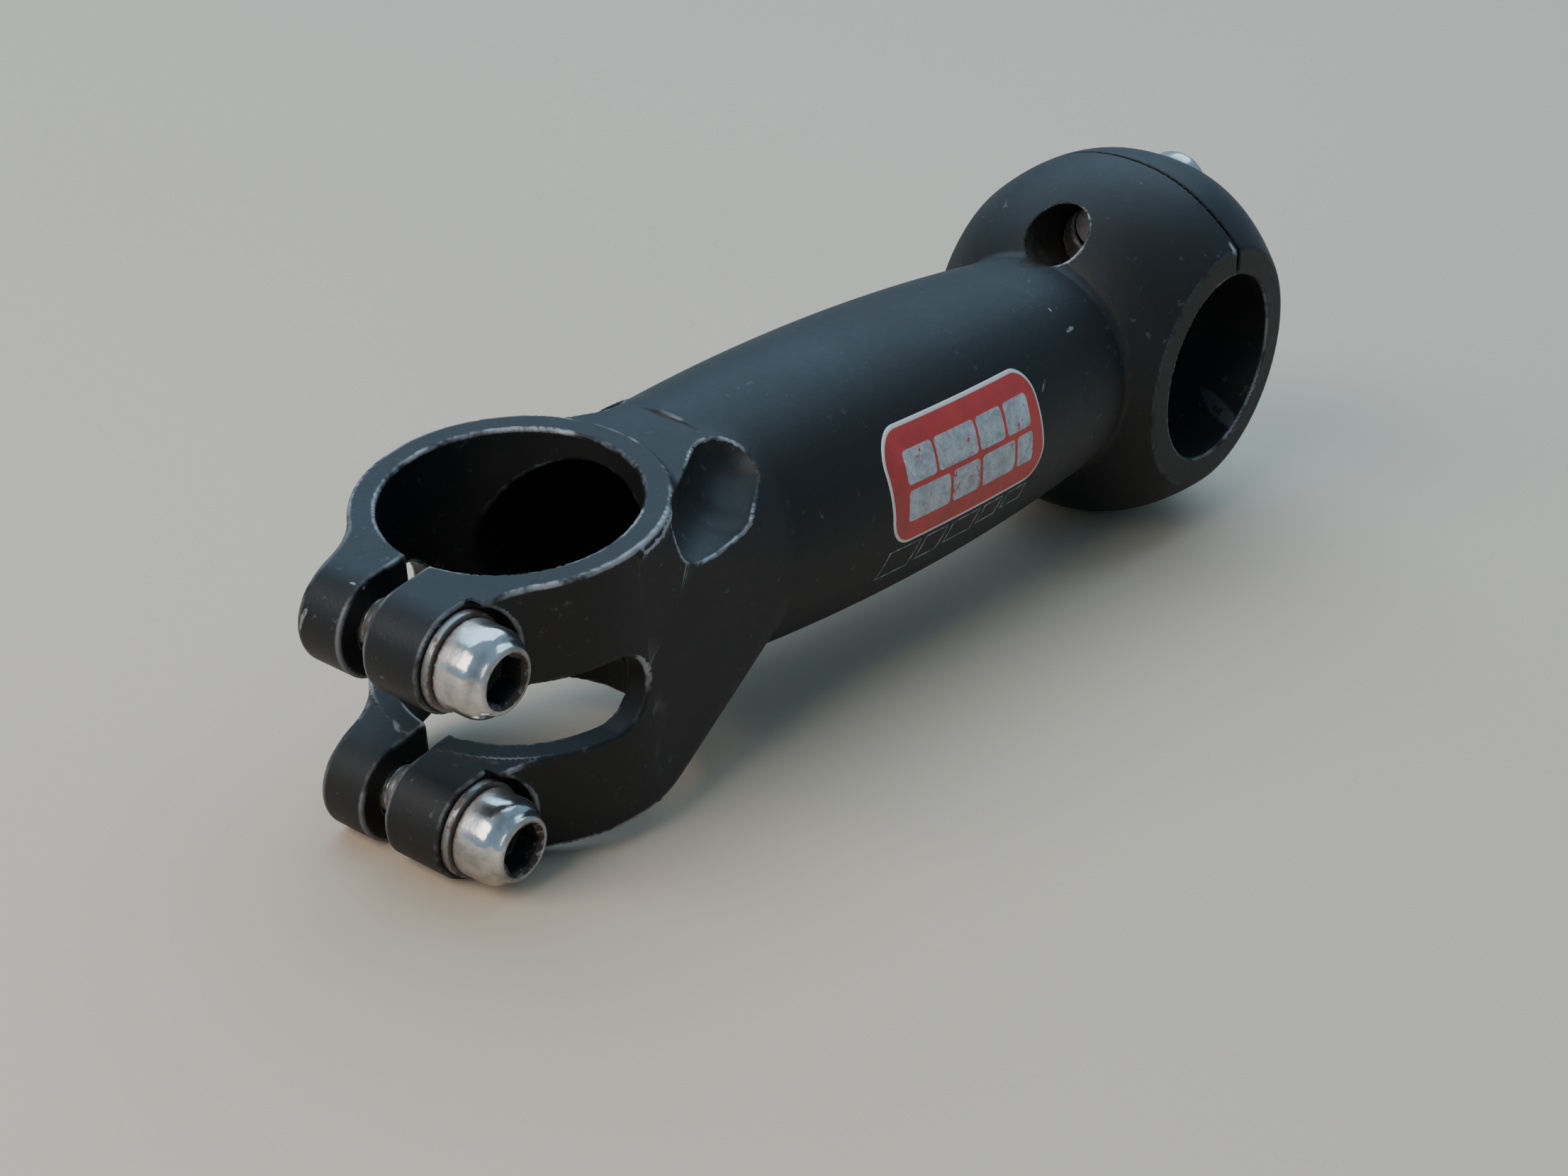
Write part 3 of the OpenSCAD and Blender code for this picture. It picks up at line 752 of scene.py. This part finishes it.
def place(name, node, body, slot, shape, mover, material, turn=0.0):
    verts, faces, grime_and_shade = shape
    x, y = turned(verts[:, 0], verts[:, 1], turn)
    mesh = to_mesh(name, lay_down(mover(np.stack([x, y, verts[:, 2]], axis=1))) * MM, faces)
    add_attribute(mesh, "grime_and_shade", grime_and_shade)
    mesh.set_sharp_from_angle(angle=math.radians(40))
    mesh.materials.append(material)
    finish_piece(add(name, mesh), node, body)


# ---------------------------------------------------------------- badges
def on_tube(flat, side, lift):
    """Points on the tube's flank, from places along and up from the badge's middle."""
    s = BADGE_START + BADGE_L / 2 + flat[:, 0]
    v = BADGE_UP + flat[:, 1]
    r = tube_radius(s) + lift
    return np.stack([s * CD + v * SD, side * np.sqrt(r * r - v * v), RISE - s * SD + v * CD], axis=1)


def badge(name, side, material, node):
    """A thin printed skin on the tube's flank: loops that run in from its slanted round outline."""
    corners = []
    half_l, half_h = BADGE_L / 2 - BADGE_CORNER, BADGE_H / 2 - BADGE_CORNER
    shear = math.tan(BADGE_SLANT) * BADGE_H / 2
    for sx, sz, a0 in ((1, 1, 0), (-1, 1, 90), (-1, -1, 180), (1, -1, 270)):
        for a in np.radians(np.arange(a0, a0 + 90, 6)):
            corners.append((sx * half_l - sz * shear, sz * half_h, math.cos(a), math.sin(a)))
        next_x, next_z = {(1, 1): (-1, 1), (-1, 1): (-1, -1), (-1, -1): (1, -1), (1, -1): (1, 1)}[(sx, sz)]
        a = math.radians(a0 + 90)
        start = np.array([sx * half_l - sz * shear, sz * half_h])
        end = np.array([next_x * half_l - next_z * shear, next_z * half_h])
        pieces = 26 if sz == next_z else 8
        for k in range(pieces):
            c = start + (end - start) * k / pieces
            corners.append((c[0], c[1], math.cos(a), math.sin(a)))
    corners = np.array(corners)
    core, out = corners[:, :2], corners[:, 2:]
    loops = [(BADGE_CORNER, 0.0), (BADGE_CORNER, BADGE_T * 0.55), (BADGE_CORNER - 0.04, BADGE_T * 0.85),
             (BADGE_CORNER - 0.10, BADGE_T), (BADGE_CORNER - 0.6, BADGE_T), (BADGE_CORNER * 0.55, BADGE_T),
             (0.0, BADGE_T)]
    spine = np.stack([np.clip(core[:, 0], -half_l + 1.5, half_l - 1.5), 0 * core[:, 1]], axis=1)
    flat, lift, depth = [], [], []
    for radius, height in loops:
        flat.append(core + radius * out)
        lift.append(np.full(len(core), height))
        depth.append(np.full(len(core), BADGE_CORNER - radius))
    for k in (0.33, 0.66, 1.0):
        flat.append(core + (spine - core) * k)
        lift.append(np.full(len(core), BADGE_T))
        depth.append(np.full(len(core), 4.0))
    flat, lift, depth = np.vstack(flat), np.concatenate(lift), np.concatenate(depth)
    faces = grid_faces(len(loops) + 3, len(core))
    if side > 0:
        faces = faces[:, ::-1]
    mesh = to_mesh(name, lay_down(on_tube(flat, side, lift - BADGE_SUNK)) * MM, faces.tolist())
    add_attribute(mesh, "place", np.stack([flat[:, 0], flat[:, 1], depth], axis=1))
    mesh.materials.append(material)
    finish_piece(add(name, mesh), node, "stem")


# Outlined blocks printed below each badge, along and up from its middle: two ends, bottom, top
LINES = ((-15.6, -9.3, -11.4, -7.6), (-8.3, -3.6, -11.0, -7.6), (-2.6, 3.4, -10.6, -7.6),
         (4.4, 8.6, -10.2, -7.6), (9.6, 14.2, -9.8, -7.6))
# A line is narrower along the tube than up it
LINE_WIDTHS = np.array([0.75, 1.0])


def badge_lines(name, side, material):
    verts, faces = [], []
    for left_end, right_end, low, high in LINES:
        lean = 0.25 * (high - low)
        outline = np.array([(left_end - lean, low), (right_end - lean, low),
                            (right_end, high), (left_end, high)])
        share = np.linspace(0, 1, 14)[:-1, None]
        path = np.vstack([a + (b - a) * share for a, b in zip(outline, np.roll(outline, -1, axis=0))])
        inward = outline.mean(0) - path
        inward /= np.maximum(np.abs(inward) * LINE_WIDTHS, 1e-6).max(1, keepdims=True)
        first = sum(len(v) for v in verts)
        for inset, lift in ((0.0, -0.04), (0.02, 0.03), (0.20, 0.03), (0.22, -0.04)):
            verts.append(on_tube(path + inward * inset * LINE_WIDTHS, side, lift))
        loop = grid_faces(4, len(path), first)
        faces.append(loop if side < 0 else loop[:, ::-1])
    mesh = to_mesh(name, lay_down(np.vstack(verts)) * MM, np.vstack(faces).tolist())
    mesh.materials.append(material)
    obj = add(name, mesh)
    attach(obj, "stem")


# ---------------------------------------------------------------- the object
body = build_body()
finish_piece(body, "stem_body", "stem")
screw_look, washer_look, badge_look = screw_material(), washer_material(), badge_material()
for word, side, turn in (("upper", 1, 0.35), ("lower", -1, -0.2)):
    place(f"clamp_screw_{word}_detail", f"clamp_bolt_{word}", f"clamp_screw_{word}", "screw",
          socket_screw(), lambda p: along_clamp_screw(p, side, SEAT_Y + WASHER_T), screw_look, turn)
    place(f"clamp_washer_{word}_detail", f"clamp_washer_{word}", f"clamp_washer_{word}", "washer",
          washer(), lambda p: along_clamp_screw(p, side, SEAT_Y), washer_look)
place("bar_screw_detail", "bar_bolt", "bar_screw", "screw", socket_screw(),
      lambda p: along_bar_screw(p, BAR_SEAT + WASHER_T), screw_look, 0.1)
place("bar_washer_detail", "bar_bolt_washer", "bar_screw_washer", "washer", washer(),
      lambda p: along_bar_screw(p, BAR_SEAT), washer_look)
badge("badge_right_print", -1, badge_look, "badge_right")
badge("badge_left_print", 1, badge_look, "badge_left")
lines_look = lines_material()
badge_lines("badge_right_lines", -1, lines_look)
badge_lines("badge_left_lines", 1, lines_look)

# ---------------------------------------------------------------- floor and light
floor_half, floor_x = 2.5, 0.06
floor_corners = [(floor_x + a * floor_half, b * floor_half, FLOOR_Z)
                 for a, b in ((-1, -1), (1, -1), (1, 1), (-1, 1))]
floor_mesh = to_mesh("floor", floor_corners, [[0, 1, 2, 3]])
floor_mesh.materials.append(floor_material())
add("floor", floor_mesh)


def area_light(name, place_at, look_at, width, height, power, colour):
    data = bpy.data.lights.new(name, "AREA")
    data.shape = "RECTANGLE"
    data.size, data.size_y, data.energy, data.color = width, height, power, colour
    obj = add(name, data)
    towards = Vector(look_at) - Vector(place_at)
    obj.matrix_world = Matrix.Translation(place_at) @ towards.to_track_quat("-Z", "Y").to_matrix().to_4x4()


area_light("sky_panel", (0.45, 0.38, 0.85), (0.06, 0.0, 0.0), 1.5, 1.3, 13.0, (0.52, 0.77, 1.0))
area_light("side_panel", (-0.75, 0.15, 0.55), (0.0, 0.0, 0.0), 0.8, 0.6, 8.5, (1.0, 0.94, 0.88))
world = bpy.data.worlds.new("studio")
bpy.context.scene.world = world
world.use_nodes = True
background = world.node_tree.nodes["Background"]
background.inputs["Color"].default_value = (0.47, 0.75, 1.0, 1)
background.inputs["Strength"].default_value = 0.48
